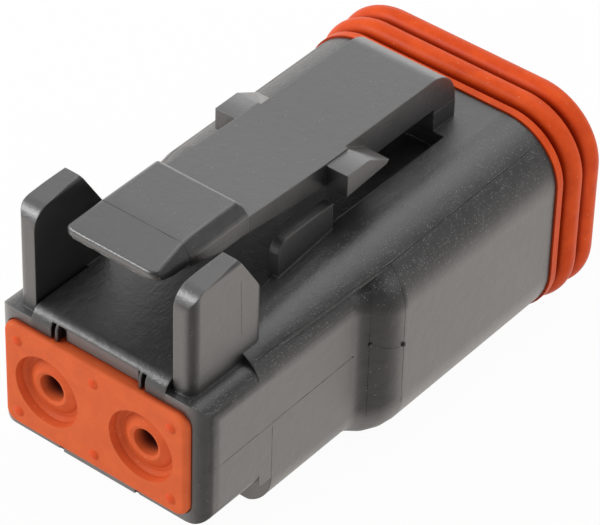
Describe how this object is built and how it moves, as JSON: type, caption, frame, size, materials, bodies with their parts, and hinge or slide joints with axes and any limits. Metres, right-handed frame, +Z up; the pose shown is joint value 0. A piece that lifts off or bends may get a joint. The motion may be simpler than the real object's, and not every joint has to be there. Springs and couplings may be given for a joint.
{
  "type": "sealed automotive connector plug",
  "caption": "Sealed wire-to-wire plug housing with a springy latch lever between guard ears, a rear wire seal, a ribbed front ring seal, a wedge lock and crimp sockets.",
  "frame": {"origin": "under the middle of the part's box, at the level of the lowest seal rib", "axes": "+Y towards the mating end, +Z up towards the latch lever, +X across the two contacts"},
  "size_m": [0.022, 0.0406, 0.0226],
  "materials": {
    "housing_plastic": "fine moulded satin, charcoal black",
    "seal_silicone": "satin terracotta silicone rubber",
    "wedge_plastic": "satin orange moulding",
    "contact_metal": "nickel plated, turned",
    "hood_metal": "thin drawn stainless sleeve"
  },
  "bodies": {
    "base": {"housing": "housing_plastic", "wire_seal": "seal_silicone", "ring_seal": "seal_silicone", "wedge_lock": "wedge_plastic", "left_socket": "contact_metal", "right_socket": "contact_metal", "left_hood": "hood_metal", "right_hood": "hood_metal"},
    "lever": {"latch_lever": "housing_plastic"}
  },
  "joints": [
    {"name": "latch_hinge", "type": "hinge", "parent": "base", "child": "lever", "pos_m": [0, 0.011, 0.01765], "axis": [1, 0, 0], "range_deg": [0, 6], "stiffness_Nm_per_rad": 0.1, "springref_deg": -1.15}
  ]
}
